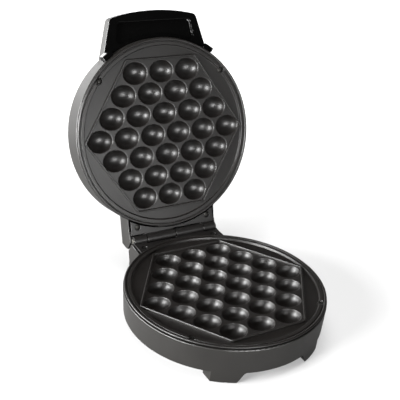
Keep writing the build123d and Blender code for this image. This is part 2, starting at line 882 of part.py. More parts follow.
def handle_plan():
    """The handle's outline, wider towards the drum, with a bowed front."""
    root_half = handle_half + handle_flare * (handle_half_reach - handle_root)
    tip_half = handle_half + handle_flare * (handle_half_reach - handle_reach)
    with BuildSketch() as plan:
        Polygon(
            (-root_half, handle_root), (root_half, handle_root), (tip_half, handle_reach),
            (-tip_half, handle_reach), align=None,
        )
        with Locations((0, handle_reach - handle_front_radius)):
            Circle(handle_front_radius, mode=Mode.INTERSECT)
        fillet(plan.vertices().group_by(Axis.Y)[-1], radius=handle_corner)
    return plan.sketch


def grip_plan(grow):
    """The finger recess's outline, grown by a wall."""
    near_half = grip_half + grip_taper * (grip_half_reach - handle_root) + grow
    far_half = grip_half - grip_taper * (grip_reach + grow - grip_half_reach) + grow
    with BuildSketch() as plan:
        Polygon(
            (-near_half, handle_root), (near_half, handle_root),
            (far_half, grip_reach + grow), (-far_half, grip_reach + grow), align=None,
        )
        Circle(wall_top_outer + grip_wall_gap - grow, mode=Mode.SUBTRACT)
        fillet(plan.vertices(), radius=grip_corner + grow)
    return plan.sketch


with BuildPart() as handle_body:
    with BuildSketch(Plane.XY.offset(cover_back)):
        add(handle_plan())
    extrude(amount=handle_back - cover_back)
    fillet(handle_body.edges().group_by(Axis.Z)[-1], radius=handle_back_round)
    with BuildSketch(Plane.XY.offset(cover_back)):
        add(handle_plan())
        offset(amount=-handle_wall, kind=Kind.INTERSECTION)
    extrude(amount=handle_back - handle_wall - cover_back, mode=Mode.SUBTRACT)
    with BuildSketch(Plane.XY.offset(cover_back)):
        with Locations(*snap_spots):
            Circle(snap_boss_radius)
    extrude(amount=handle_back - handle_wall - cover_back)
    with BuildSketch(Plane.XY.offset(cover_back)):
        with Locations(*snap_spots):
            Circle(snap_radius + snap_play)
    extrude(amount=snap_length + 1, mode=Mode.SUBTRACT)
    with BuildSketch():
        Circle(wall_top_outer - wall_bite)
    extrude(amount=2 * handle_back, mode=Mode.SUBTRACT)

with BuildPart() as lid_body:
    with BuildSketch(Plane.XZ) as lid_section:
        with BuildLine():
            dome = ThreePointArc(
                (lid_edge_outer, lid_wall_depth),
                (lid_edge_outer / 2, dome_level(lid_edge_outer / 2)),
                (0, crown_level),
            )
            inside = ThreePointArc(
                (0, crown_level - skin),
                (lid_edge_outer / 2, dome_level(lid_edge_outer / 2) - skin),
                (lid_edge_outer - skin, lid_wall_depth - skin),
            )
            Line(dome @ 1, inside @ 0)
            Polyline(
                inside @ 1, (wall_top_outer - skin, edge_level), (wall_top_outer, edge_level), dome @ 0
            )
        make_face()
        fillet(nearest(lid_section.vertices(), (lid_edge_outer, lid_wall_depth)), lid_edge_round)
        fillet(
            nearest(lid_section.vertices(), (lid_edge_outer - skin, lid_wall_depth - skin)),
            lid_edge_round - skin,
        )
        fillet(nearest(lid_section.vertices(), (wall_top_outer, edge_level)), edge_round)
    revolve(axis=Axis.Z)
    with BuildSketch(Plane.XY.offset(plate_back)):
        with Locations(*plate_screw_spots):
            Circle(column_radius)
    extrude(amount=lid_wall_depth - lid_edge_round - plate_back)
    with BuildSketch(Plane.XY.offset(plate_back)):
        with Locations(socket_spot):
            Circle(column_radius)
    extrude(amount=socket_length)
    add(hinge_box(lid_box_outline, box_depth))
    add(handle_body.part)
    add(wall_windows(), mode=Mode.SUBTRACT)
    with BuildSketch(Plane.XY.offset(plate_back)):
        with Locations(*plate_screw_spots):
            Circle(plate_shank + thread_play)
        with Locations(socket_spot):
            Circle(peg_radius + peg_play)
    extrude(amount=plate_screw_length, mode=Mode.SUBTRACT)
    with BuildSketch(Plane.XY.offset(lens_seat - lamp_boss_length)):
        with Locations(*lamp_spots):
            Circle(lamp_bore + lamp_boss_wall)
    extrude(amount=lamp_boss_length)
    with BuildSketch(Plane.XY.offset(lens_seat - lamp_boss_length)):
        with Locations(*lamp_spots):
            Circle(lamp_bore)
    extrude(amount=lamp_boss_length, mode=Mode.SUBTRACT)
    with BuildSketch(Plane.XY.offset(lens_seat)):
        with Locations(*lamp_spots):
            Circle(lens_radius)
    extrude(amount=2 * skin, mode=Mode.SUBTRACT)

with BuildPart(lid_half) as lid_housing:
    add(lid_body.part, clean=False)
save(lid_housing, "lid_housing")

# Handle cover: the gloss inner face with its finger recess, two shoulders beside the drum and two pegs
shoulder_inner_radius = wall_top_outer + cover_wall_gap
shoulder_turn = shoulder_outer_angle - shoulder_inner_angle
with BuildPart() as cover_body:
    with BuildSketch(Plane.XY.offset(handle_face)):
        add(handle_plan())
    extrude(amount=handle_cover_edge)
    fillet(cover_body.edges().group_by(Axis.Z)[0], radius=handle_face_round)
    with BuildSketch(Plane.XY.offset(cover_back)):
        add(grip_plan(grip_wall))
    extrude(amount=grip_depth)
    with BuildSketch(Plane.XY.offset(handle_face)):
        add(grip_plan(0))
    extrude(amount=grip_depth, mode=Mode.SUBTRACT)
    with BuildSketch(Plane.XY.offset(handle_face)):
        Circle(wall_top_outer - 0.1)
    extrude(amount=2 * handle_cover_edge, mode=Mode.SUBTRACT)
    for start in (90 - shoulder_outer_angle, 90 + shoulder_inner_angle):
        with BuildSketch(Plane.XY.offset(shoulder_drop)) as shoulder:
            with BuildLine():
                near = CenterArc((0, 0), shoulder_inner_radius, start, shoulder_turn)
                far = CenterArc((0, 0), shoulder_inner_radius + shoulder_width, start, shoulder_turn)
                Line(near @ 0, far @ 0)
                Line(near @ 1, far @ 1)
            make_face()
            fillet(shoulder.vertices(), radius=shoulder_round)
        extrude(amount=cover_back - shoulder_drop)
    with BuildSketch(Plane.XY.offset(cover_back)):
        with Locations(*snap_spots):
            Circle(snap_radius)
    extrude(amount=snap_length)

with BuildPart(lid_half) as handle_cover:
    add(cover_body.part)
save(handle_cover, "handle_cover")

# Indicator lamps: a lens in the dome and a lamp behind it, one for power and one for ready
with BuildPart() as lens_body:
    with BuildSketch(Plane.XY.offset(lamp_face)):
        Circle(lens_radius + lens_flange)
    extrude(amount=lens_flange_thickness)
    with BuildSketch(Plane.XY.offset(lens_seat)):
        Circle(lens_radius - lens_play)
    extrude(amount=lamp_level + lens_proud - lens_seat)
    fillet(lens_body.edges().group_by(Axis.Z)[-1], radius=lens_round)

with BuildPart() as lamp_body:
    with BuildSketch(Plane.XY.offset(lamp_end)):
        Circle(lamp_radius)
    extrude(amount=lamp_length)

for (u, v), name in zip(lamp_spots, ("power", "ready")):
    with BuildPart(lid_half) as lens:
        with Locations((u, v, 0)):
            add(lens_body.part)
    save(lens, f"{name}_lamp_lens")
    with BuildPart(lid_half) as lamp:
        with Locations((u, v, 0)):
            add(lamp_body.part)
    save(lamp, f"{name}_lamp")

# Pieces that are the same in both halves
for half, name in ((base_half, "lower"), (lid_half, "upper")):
    with BuildPart(half) as plate:
        add(cooking_plate.part, clean=False)
    save(plate, f"{name}_plate")
    with BuildPart(half) as plate_screws:
        with Locations(*[(u, v, recess_level) for u, v in plate_screw_spots]):
            add(plate_screw, clean=False)
    save(plate_screws, f"{name}_plate_screws")
    with BuildPart(half) as heater:
        add(element.part, clean=False)
    save(heater, f"{name}_element")
    with BuildPart(half) as clamps:
        add(element_clamps.part, clean=False)
    save(clamps, f"{name}_element_clamps")
    with BuildPart(half) as shield:
        add(heat_shield.part, clean=False)
    save(shield, f"{name}_heat_shield")
    with BuildPart(Plane(origin=half.origin, x_dir=half.x_dir, z_dir=-half.z_dir)) as shield_screws:
        with Locations(*[(u, -v, -shield_back) for u, v in post_spots]):
            add(small_screw, clean=False)
    save(shield_screws, f"{name}_shield_screws")
    with BuildPart(half) as leaf:
        add(hinge_leaf.part, clean=False)
    save(leaf, f"{name}_hinge_leaf")
    with BuildPart(half) as leaf_screws:
        with Locations(*[(u, v, leaf_drop + leaf_recess_depth) for u, v in leaf_screw_spots]):
            add(leaf_screw, clean=False)
    save(leaf_screws, f"{name}_leaf_screws")

for half, name in ((base_half, "base"), (lid_half, "lid")):
    with BuildPart(half) as block:
        add(terminal_block.part)
    save(block, f"{name}_terminal_block")
    with BuildPart(half) as block_screws:
        with Locations(*[(u, v, block_top) for u, v in block_screw_spots]):
            add(block_screw, clean=False)
    save(block_screws, f"{name}_terminal_screws")

with BuildPart() as hinge_pin:
    with BuildSketch(Plane(origin=hinge_point, x_dir=(0, 1, 0), z_dir=(1, 0, 0))):
        Circle(pin_radius)
    extrude(amount=leaf_half + pin_overhang, both=True)
save(hinge_pin, "hinge_pin")

# Thermostat, screwed to the lower plate's pad through its flange, with two terminals
thermostat_top = pad_level + thermostat_flange + thermostat_height
with BuildPart() as thermostat_body:
    with BuildSketch(Plane.XY.offset(pad_level)):
        SlotOverall(thermostat_flange_length, thermostat_flange_width, rotation=90)
        with Locations((0, thermostat_screw_reach), (0, -thermostat_screw_reach)):
            Circle(small_shank + hole_play, mode=Mode.SUBTRACT)
    extrude(amount=thermostat_flange)
    with BuildSketch(Plane.XY.offset(pad_level)):
        Circle(thermostat_radius)
    extrude(amount=thermostat_flange + thermostat_height)
    with BuildSketch(Plane.XY.offset(thermostat_top)):
        with Locations((terminal_reach, 0), (-terminal_reach, 0)):
            Rectangle(terminal_side, terminal_side)
    extrude(amount=terminal_height)

with BuildPart(base_half) as thermostat:
    add(thermostat_body.part)
save(thermostat, "thermostat")

with BuildPart(under_half) as thermostat_screws:
    with Locations(
        (0, thermostat_screw_reach, -pad_level - thermostat_flange),
        (0, -thermostat_screw_reach, -pad_level - thermostat_flange),
    ):
        add(thermostat_screw, clean=False)
save(thermostat_screws, "thermostat_screws")

# Thermal fuse, held to the lower plate's back by a clip and one screw
fuse_half = fuse_length / 2 + fuse_lead_length
with BuildPart() as fuse_body:
    with BuildSketch(Plane.YZ.offset(fuse_spot[0] - fuse_length / 2)):
        with Locations((fuse_spot[1], fuse_level)):
            Circle(fuse_radius)
    extrude(amount=fuse_length)
    with BuildSketch(Plane.YZ.offset(fuse_spot[0] - fuse_half)):
        with Locations((fuse_spot[1], fuse_level)):
            Circle(fuse_lead)
    extrude(amount=2 * fuse_half)

with BuildPart(base_half) as thermal_fuse:
    add(fuse_body.part)
save(thermal_fuse, "thermal_fuse")

clip_middle = fuse_post_spot[1] - fuse_post_radius + clip_length / 2
with BuildPart() as clip_body:
    with BuildSketch(Plane.XY.offset(fuse_post_level)):
        with Locations((fuse_spot[0], clip_middle)):
            RectangleRounded(clip_width, clip_length, radius=1)
        with Locations(fuse_post_spot):
            Circle(small_shank + hole_play, mode=Mode.SUBTRACT)
    extrude(amount=clip_thickness)

with BuildPart(base_half) as fuse_clip:
    add(clip_body.part)
save(fuse_clip, "fuse_clip")

fuse_screw = screw(small_head, small_head_height, small_shank, fuse_post_level - plate_back)
with BuildPart(under_half) as fuse_clip_screw:
    with Locations((fuse_post_spot[0], -fuse_post_spot[1], -fuse_post_level - clip_thickness)):
        add(fuse_screw, clean=False)
save(fuse_clip_screw, "fuse_clip_screw")

# Wires. They run behind the heat shield and through the windows to the terminal block's front face.
block_face = -block_reach + block_thick / 2
block_middle = block_top + block_height / 2
under_shield = thermostat_top + terminal_height / 2
over_shield = shield_back + small_head_height + 2 * wire_radius
pin_turn = pin_end - wire_straight


def pin_wire(side):
    """A wire from one of the heating element's pins straight to the terminal block."""
    return wire(
        (side * pin_half, pin_end, element_level),
        (side * pin_half, pin_turn, element_level),
        (side * pin_half, block_face + wire_straight, block_middle),
        (side * pin_half, block_face, block_middle),
    )


def lamp_wire(side):
    """A wire from a lamp, along the lid behind the heat shield, to the terminal block."""
    return wire(
        (side * lamp_half, lamp_reach, lamp_end),
        (side * lamp_half, lamp_reach, over_shield),
        *[(side * u, v, over_shield) for u, v in lamp_wire_run],
        (side * lamp_wire_half, pin_turn + 1.5, over_shield),
        (side * lamp_wire_half, pin_turn + 1, block_middle),
        (side * lamp_wire_half, block_face, block_middle),
    )


thermostat_wire = wire(
    (-pin_half, pin_end, element_level),
    (-pin_half, pin_turn, element_level),
    (-pin_half - 2, pin_turn - 0.5, under_shield),
    (*thermostat_wire_spot, under_shield),
    (-terminal_reach, -3 * wire_straight, under_shield),
    (-terminal_reach, -terminal_side / 2, under_shield),
)
fuse_wire = wire(
    (terminal_reach, -terminal_side / 2, under_shield),
    (terminal_reach, -3 * wire_straight, under_shield),
    *[(*spot, under_shield) for spot in fuse_wire_run],
    (*fuse_wire_run[-1], fuse_level),
    (fuse_spot[0] + fuse_half + 2 * wire_straight - 3.5, fuse_spot[1], fuse_level),
    (fuse_spot[0] + fuse_half, fuse_spot[1], fuse_level),
)
live_wire = wire(
    (fuse_spot[0] - fuse_half, fuse_spot[1], fuse_level),
    (fuse_spot[0] - fuse_half - wire_straight, fuse_spot[1], fuse_level),
    (fuse_spot[0] - fuse_half - wire_straight, fuse_spot[1], block_middle + wire_radius),
    (fuse_spot[0] + wire_bend, block_face + 2 * wire_straight, block_middle + wire_radius),
    (-live_wire_half, block_face + wire_straight, block_middle),
    (-live_wire_half, block_face, block_middle),
)

with BuildPart(base_half) as base_wires:
    for run in (pin_wire(1), thermostat_wire, fuse_wire, live_wire):
        add(run, clean=False)
save(base_wires, "base_wires")

with BuildPart(lid_half) as lid_wires:
    for run in (pin_wire(1), pin_wire(-1), lamp_wire(1), lamp_wire(-1)):
        add(run, clean=False)
save(lid_wires, "lid_wires")
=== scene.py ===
import json
import math

import bmesh
import bpy
from mathutils import Matrix, Vector
from mathutils.bvhtree import BVHTree
from mathutils.kdtree import KDTree

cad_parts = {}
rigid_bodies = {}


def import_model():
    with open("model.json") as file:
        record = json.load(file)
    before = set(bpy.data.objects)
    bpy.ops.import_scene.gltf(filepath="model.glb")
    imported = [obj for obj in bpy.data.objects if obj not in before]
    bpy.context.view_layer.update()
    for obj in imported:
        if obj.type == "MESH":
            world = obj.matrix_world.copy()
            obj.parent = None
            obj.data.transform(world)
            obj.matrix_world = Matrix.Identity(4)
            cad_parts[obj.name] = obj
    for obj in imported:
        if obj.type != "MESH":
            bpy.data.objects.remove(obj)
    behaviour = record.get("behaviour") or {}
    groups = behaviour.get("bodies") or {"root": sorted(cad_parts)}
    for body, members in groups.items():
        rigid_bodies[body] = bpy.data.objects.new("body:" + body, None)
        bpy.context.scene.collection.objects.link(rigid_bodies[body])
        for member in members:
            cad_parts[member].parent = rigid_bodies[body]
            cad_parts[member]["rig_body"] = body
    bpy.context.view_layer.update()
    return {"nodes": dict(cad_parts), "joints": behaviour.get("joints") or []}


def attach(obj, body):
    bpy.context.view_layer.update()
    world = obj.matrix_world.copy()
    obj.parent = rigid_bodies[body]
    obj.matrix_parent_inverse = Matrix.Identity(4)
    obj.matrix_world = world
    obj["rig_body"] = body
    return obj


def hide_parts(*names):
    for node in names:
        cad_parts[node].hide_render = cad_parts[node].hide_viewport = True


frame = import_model()

# A mini bubble waffle maker, open, in metres. Its two cooking plates are one casting, drawn in millimetres
# in one half's own coordinates and placed twice: X runs across, Y towards the handle, and Z away from the
# plane in which the two halves meet. A level is a distance from that plane.

MM = 0.001
HINGE_REACH = 109.0
OPEN_ANGLE = math.radians(106.5)

hinge = Vector(frame["joints"][0]["pos_m"])
LOWER_HALF = (
    Matrix.Translation(hinge)
    @ Matrix.Translation((0, -HINGE_REACH * MM, 0))
    @ Matrix.Rotation(math.pi, 4, "X")
)
UPPER_HALF = (
    Matrix.Translation(hinge)
    @ Matrix.Rotation(-OPEN_ANGLE, 4, "X")
    @ Matrix.Translation((0, -HINGE_REACH * MM, 0))
    @ Matrix.Rotation(math.pi, 4, "Z")
)

# The hollows are parts of an ellipsoid about HOLLOW_LEVEL, in rows across the plate. Their rims are rounded
# into the flat by steps of HOLLOW_RIM_STEP degrees, with a narrow strip of the flat round each.
ROW_COUNTS = (3, 4, 5, 6, 5, 4, 3)
PITCH = 30.0
ROW_PITCH = 21.8
HOLLOW_LENGTH = 26.8
HOLLOW_WIDTH = 22.3
HOLLOW_LEVEL = 2.25
HOLLOW_RIM_ROUND = 0.9
HOLLOW_RIM_STEP = 18
HOLLOW_RIM_STRIP = 0.2
HOLLOW_SEGMENTS = 56
HOLLOW_RINGS = 12

# The flat between the hollows, and the back of the plate behind it
FLAT_LEVEL = 2.9
PLATE_BACK = 5.5

# The narrow hexagon round the hollows, measured to its outside, with its foot sunk into the flat
RIDGE_END = 92.6
RIDGE_CORNER = 40.0
RIDGE_SIDE = 80.2
RIDGE_CORNER_ROUND = 1.4
RIDGE_WIDTH = 1.8
RIDGE_LEVEL = 0.6
RIDGE_EDGE_ROUND = 0.55
RIDGE_SINK = 0.4

# The rim: an oval bead over its foot, drawn through BEAD_TURNS in degrees, then points of radius and level
# through the groove, over the land and down the step to the flat
RIM_RADIUS = 99.6
RIM_SEGMENTS = 240
BEAD_WIDTH = 2.7
BEAD_MIDDLE = RIM_RADIUS - BEAD_WIDTH / 2
BEAD_LEVEL = 1.2
BEAD_HEIGHT = 1.0
BEAD_UNDER = 2.2
BEAD_FOOT = BEAD_MIDDLE + 0.3
BEAD_TURNS = range(-60, 176, 14)
GROOVE = ((96.75, 1.22), (96.1, 1.22), (95.95, 1.1), (95.9, 0.8), (95.8, 0.58))
LAND = ((95.55, 0.5), (95.3, 0.5), (93.1, 0.5), (92.85, 0.5))
STEP = (
    (92.62, 0.58), (92.5, 0.8), (92.1, 2.5), (91.95, 2.78),
    (91.7, FLAT_LEVEL), (91.4, FLAT_LEVEL), (91.2, FLAT_LEVEL),
)

# The recesses of the plate's two screws, either side of the handle line
SCREW_CIRCLE = 93.1
SCREW_ANGLE = math.radians(49)
SCREW_HOLE = 1.8
RECESS_RADIUS = 3.5
RECESS_LEVEL = 3.3
RECESS_BEVEL = 0.25
RECESS_SEGMENTS = 40
CUT_PAST = 1.0

# Points nearer than MERGE are joined, and what is nearer than TOUCH to a level or a radius lies on it. The
# CAD plate's old faces are looked for up to HOLE_PLAY past a screw hole's wall, and up to HOLLOW_REACH of a
# hollow's ellipsoid, whose surface is at 1.
MERGE = 0.001
TOUCH = 0.02
HOLE_PLAY = 0.1
HOLLOW_REACH = 1.1

# Faces that meet flatter than FLAT_ANGLE are joined, edges sharper than EDGE_ANGLE are rounded, and a crease
# over CREASE_ANGLE still looks sharp. A point that strays from the CAD surface by more than STRAY_SHARE of
# the rounding is pulled back. The roundings are those of moulded, polished and pressed pieces.
FLAT_ANGLE = math.radians(0.2)
EDGE_ANGLE = math.radians(35)
CREASE_ANGLE = math.radians(32)
STRAY_SHARE = 0.6
MOULDED_ROUND = 0.35
POLISHED_ROUND = 0.25
PRESSED_ROUND = 0.3


# Materials

# The colour drifts over about 45 mm, and drift times grain lies mostly between the pattern's low and high.
DRIFT_PER_METRE = 22.0
PATTERN_LOW = 0.1
PATTERN_HIGH = 0.45


def srgb(text):
    """The linear colour of an sRGB hex value."""
    values = [int(text[place:place + 2], 16) / 255 for place in (1, 3, 5)]
    return tuple(v / 12.92 if v <= 0.04045 else ((v + 0.055) / 1.055) ** 2.4 for v in values) + (1.0,)


def add(tree, kind, inputs=None, **settings):
    """Add a node with its settings, and set or link its inputs."""
    node = tree.nodes.new("ShaderNode" + kind)
    for name, value in settings.items():
        setattr(node, name, value)
    for name, value in (inputs or {}).items():
        if isinstance(value, bpy.types.NodeSocket):
            tree.links.new(value, node.inputs[name])
        else:
            node.inputs[name].default_value = value
    return node


def surface_finish(name, grain_mm, relief_mm, colours, roughness, **shader):
    """A material with a fine grain in its relief, a broad drift in its colour and both in its roughness.

    grain_mm is the spacing of the grain and relief_mm its height. colours are the two ends of the drift, and
    roughness is the range that the surface shows.
    """
    material = bpy.data.materials.new(name)
    material.use_nodes = True
    tree = material.node_tree
    tree.nodes.clear()
    place = add(tree, "TexCoord").outputs["Object"]
    drift = add(tree, "TexNoise", {
        "Vector": place, "Scale": DRIFT_PER_METRE, "Detail": 3.0, "Roughness": 0.55,
    })
    grain = add(tree, "TexNoise", {
        "Vector": place, "Scale": 1 / (grain_mm * MM), "Detail": 2.0, "Roughness": 0.6,
    })
    colour = add(
        tree, "Mix", {0: drift.outputs["Fac"], 6: srgb(colours[0]), 7: srgb(colours[1])},
        data_type="RGBA",
    )
    both = add(
        tree, "Math", {0: drift.outputs["Fac"], 1: grain.outputs["Fac"]}, operation="MULTIPLY"
    )
    gloss = add(tree, "MapRange", {
        "Value": both.outputs[0], "From Min": PATTERN_LOW, "From Max": PATTERN_HIGH,
        "To Min": roughness[0], "To Max": roughness[1],
    })
    relief = add(tree, "Bump", {
        "Height": grain.outputs["Fac"], "Strength": 1.0, "Distance": relief_mm * MM,
    })
    principled = add(tree, "BsdfPrincipled", {
        "Base Color": colour.outputs[2],
        "Roughness": gloss.outputs["Result"],
        "Normal": relief.outputs["Normal"],
        **shader,
    })
    add(tree, "OutputMaterial", {"Surface": principled.outputs["BSDF"]})
    return material


# Polypropylene moulded in a spark-eroded tool: a very fine matt grain that spreads every highlight.
# The real grain is about 0.15 mm, drawn at 0.7 mm so that it shows at all.
moulded_polypropylene = surface_finish(
    "moulded_polypropylene", 0.7, 0.010, ("#0e0d0c", "#141311"), (0.37, 0.46), IOR=1.49)
# The same plastic in the floor cover, from a plainer tool: duller and greyer, with hardly a highlight.
# The tool's marks are about 0.3 mm apart, drawn at 1 mm.
plain_polypropylene = surface_finish(
    "plain_polypropylene", 1.0, 0.015, ("#1f1f1f", "#262626"), (0.55, 0.65), IOR=1.49)
# ABS moulded in a polished tool: a deep black mirror with a faint waviness about 9 mm long.
polished_abs = surface_finish(
    "polished_abs", 9.0, 0.004, ("#020202", "#030303"), (0.05, 0.10), IOR=1.54)
# Fluoropolymer non-stick coating sprayed on cast aluminium: satin black, with the spray's faint dimples.
# The dimples are about 0.4 mm apart, drawn at 0.9 mm.
non_stick_coating = surface_finish(
    "non_stick_coating", 0.9, 0.010, ("#080706", "#0d0b0a"), (0.39, 0.46), IOR=1.45)
# Black electro-coat on pressed steel: an even satin film over waves in the sheet about 1.2 mm long.
electro_coated_steel = surface_finish(
    "electro_coated_steel", 1.2, 0.008, ("#090808", "#0d0c0b"), (0.32, 0.40), IOR=1.5)
# Zinc-plated steel: a bright grey with small clouds, about 0.8 mm across.
zinc_plated_steel = surface_finish(
    "zinc_plated_steel", 0.8, 0.004, ("#a9a7a0", "#bdbbb4"), (0.26, 0.36), Metallic=1.0)
# Steel screws tumbled and blackened: a dark oxide that still glints like metal.
# The marks of the tumbling are about 0.2 mm apart, drawn at 0.6 mm.
blackened_steel = surface_finish(
    "blackened_steel", 0.6, 0.006, ("#1d1c1b", "#282725"), (0.42, 0.52), Metallic=0.8)
# Drawn stainless tube after its first heating: straw-brown stains on a soft shine, about 1.4 mm across.
heated_stainless_tube = surface_finish(
    "heated_stainless_tube", 1.4, 0.006, ("#7b6f60", "#8d877f"), (0.3, 0.42), Metallic=1.0)
# Rolled aluminium sheet: a pale, slightly blurred mirror, with ripples about 1.6 mm long.
rolled_aluminium = surface_finish(
    "rolled_aluminium", 1.6, 0.004, ("#c9cbcc", "#d6d8d9"), (0.22, 0.34), Metallic=1.0)
# Moulded rubber: dull black with a chalky bloom, whose specks of about 0.3 mm are drawn at 0.8 mm.
moulded_rubber = surface_finish(
    "moulded_rubber", 0.8, 0.02, ("#1b1b1a", "#242423"), (0.7, 0.82), IOR=1.52)
# Glazed steatite: warm white with a soft shine, over ripples in the glaze about 1.2 mm long.
glazed_steatite = surface_finish(
    "glazed_steatite", 1.2, 0.01, ("#ded9cd", "#e9e5db"), (0.25, 0.38), IOR=1.6)
# Varnished sleeve of braided glass fibre: cream, with a dull shine on strands 0.6 mm apart.
varnished_sleeve = surface_finish(
    "varnished_sleeve", 0.6, 0.03, ("#c8bfae", "#d8d0c1"), (0.5, 0.65), IOR=1.5)
# Nickel-plated case of the thermal fuse: a warm, bright metal, clouded every 0.9 mm or so.
nickel_plated_case = surface_finish(
    "nickel_plated_case", 0.9, 0.004, ("#b8af9c", "#cbc3b2"), (0.25, 0.35), Metallic=1.0)
# Dyed polycarbonate moulded clear, for the two lenses: a deep colour under sharp highlights, with flow
# marks about 3 mm apart.
red_polycarbonate = surface_finish(
    "red_polycarbonate", 3.0, 0.002, ("#9a1410", "#b01b15"), (0.08, 0.14),
    IOR=1.58, **{"Transmission Weight": 0.6})
green_polycarbonate = surface_finish(
    "green_polycarbonate", 3.0, 0.002, ("#1d7a30", "#248a3a"), (0.08, 0.14),
    IOR=1.58, **{"Transmission Weight": 0.6})
# Blown glass of the lamps: clear and sharp, faintly warm, with ripples about 4 mm long.
blown_glass = surface_finish(
    "blown_glass", 4.0, 0.002, ("#f1dfc4", "#f8ead4"), (0.04, 0.08),
    IOR=1.5, **{"Transmission Weight": 0.9})

NODE_MATERIALS = {
    "base_housing": moulded_polypropylene,
    "lid_housing": moulded_polypropylene,
    "base_cover": plain_polypropylene,
    "handle_cover": polished_abs,
    "lower_plate": non_stick_coating,
    "upper_plate": non_stick_coating,
    "lower_hinge_leaf": electro_coated_steel,
    "upper_hinge_leaf": electro_coated_steel,
    "hinge_pin": zinc_plated_steel,
    "base_cover_screws": blackened_steel,
    "lower_plate_screws": blackened_steel,
    "upper_plate_screws": blackened_steel,
    "lower_leaf_screws": blackened_steel,
    "upper_leaf_screws": blackened_steel,
    "foot_pads": moulded_rubber,
    "cord_inlet_bush": moulded_rubber,
    "lower_element": heated_stainless_tube,
    "upper_element": heated_stainless_tube,
    "lower_element_clamps": zinc_plated_steel,
    "upper_element_clamps": zinc_plated_steel,
    "lower_shield_screws": zinc_plated_steel,
    "upper_shield_screws": zinc_plated_steel,
    "lower_heat_shield": rolled_aluminium,
    "upper_heat_shield": rolled_aluminium,
    "thermostat": glazed_steatite,
    "thermostat_screws": zinc_plated_steel,
    "thermal_fuse": nickel_plated_case,
    "fuse_clip": zinc_plated_steel,
    "fuse_clip_screw": zinc_plated_steel,
    "base_terminal_block": glazed_steatite,
    "lid_terminal_block": glazed_steatite,
    "base_terminal_screws": zinc_plated_steel,
    "lid_terminal_screws": zinc_plated_steel,
    "base_wires": varnished_sleeve,
    "lid_wires": varnished_sleeve,
    "power_lamp_lens": red_polycarbonate,
    "ready_lamp_lens": green_polycarbonate,
    "power_lamp": blown_glass,
    "ready_lamp": blown_glass,
}
for node_name, material in NODE_MATERIALS.items():
    for material_slot in frame["nodes"][node_name].material_slots:
        material_slot.material = material


# Pieces that are shown in a node's place


def as_mesh(shape, name):
    """The mesh of a finished shape."""
    mesh = bpy.data.meshes.new(name)
    shape.to_mesh(mesh)
    shape.free()
    return mesh


def as_object(shape, name):
    """Put a finished shape into the scene."""
    thing = bpy.data.objects.new(name, as_mesh(shape, name))
    bpy.context.scene.collection.objects.link(thing)
    return thing


def show_for(node, name, shape):
    """Show a shape, smoothly shaded, in a node's place and on its body."""
    piece = as_object(shape, name)
    mesh = piece.data
    mesh.polygons.foreach_set("use_smooth", [True] * len(mesh.polygons))
    mesh.set_sharp_from_angle(angle=CREASE_ANGLE)
    mesh.materials.append(NODE_MATERIALS[node])
    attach(piece, frame["nodes"][node]["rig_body"])
    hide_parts(node)
    even = piece.modifiers.new("Even shading", "WEIGHTED_NORMAL")
    even.keep_sharp = True


def merged_copy(node):
    """A node's own shape with its triangles joined."""
    shape = bmesh.new()
    shape.from_mesh(frame["nodes"][node].data)
    bmesh.ops.remove_doubles(shape, verts=shape.verts, dist=MERGE * MM)
    return shape


def show_with_rounded_edges(node, name, width_mm):
    """Show a node's own shape with its sharp edges rounded, as the moulded or pressed piece has them."""
    shape = merged_copy(node)
    surface = BVHTree.FromBMesh(shape)
    bmesh.ops.dissolve_limit(
        shape, angle_limit=FLAT_ANGLE, verts=shape.verts, edges=shape.edges,
        use_dissolve_boundaries=False, delimit=set(),
    )
    sharp = [edge for edge in shape.edges if edge.calc_face_angle(0) > EDGE_ANGLE]
    bmesh.ops.bevel(
        shape, geom=sharp, offset=width_mm * MM, offset_type="OFFSET", segments=2, profile=0.5,
        affect="EDGES", material=-1, clamp_overlap=False, loop_slide=True,
    )
    for vertex in shape.verts:
        nearest, _, _, distance = surface.find_nearest(vertex.co)
        if distance > STRAY_SHARE * width_mm * MM:
            vertex.co = nearest
    show_for(node, name, shape)


# The casting of the cooking plates

last_row = (len(ROW_COUNTS) - 1) / 2
hollow_spots = [
    Vector(((place - (count - 1) / 2) * PITCH, (row - last_row) * ROW_PITCH, 0))
    for row, count in enumerate(ROW_COUNTS)
    for place in range(count)
]
hollow_finder = KDTree(len(hollow_spots))
for index, spot in enumerate(hollow_spots):
    hollow_finder.insert(spot, index)
hollow_finder.balance()

screw_spots = [
    Vector((side * SCREW_CIRCLE * math.sin(SCREW_ANGLE), SCREW_CIRCLE * math.cos(SCREW_ANGLE), 0))
    for side in (1, -1)
]


def turned(profile, steps):
    """The mesh that a profile of radius and level makes about the Z axis."""
    shape = bmesh.new()
    points = [shape.verts.new((radius, 0, level)) for radius, level in profile]
    edges = [shape.edges.new(pair) for pair in zip(points, points[1:])]
    bmesh.ops.spin(
        shape, geom=points + edges, cent=(0, 0, 0), axis=(0, 0, 1), angle=2 * math.pi,
        steps=steps, use_merge=True, use_duplicate=False,
    )
    bmesh.ops.remove_doubles(shape, verts=shape.verts, dist=MERGE)
    return as_mesh(shape, "turned")


def close_at(shape, level, normal):
    """Fill the openings of a shape that lie at a level."""
    open_edges = [
        edge for edge in shape.edges
        if edge.is_boundary and all(abs(vertex.co.z - level) < TOUCH for vertex in edge.verts)
    ]
    bmesh.ops.triangle_fill(shape, edges=open_edges, use_beauty=True, normal=normal)


def in_hollow(point):
    """Whether a point of the casting lies on the cooking side of a hollow."""
    off = point - hollow_finder.find((point.x, point.y, 0))[0]
    off.z -= HOLLOW_LEVEL
    along = (2 * off.x / HOLLOW_LENGTH) ** 2
    around = 4 * off.yz.length_squared / HOLLOW_WIDTH ** 2
    return along + around < HOLLOW_REACH


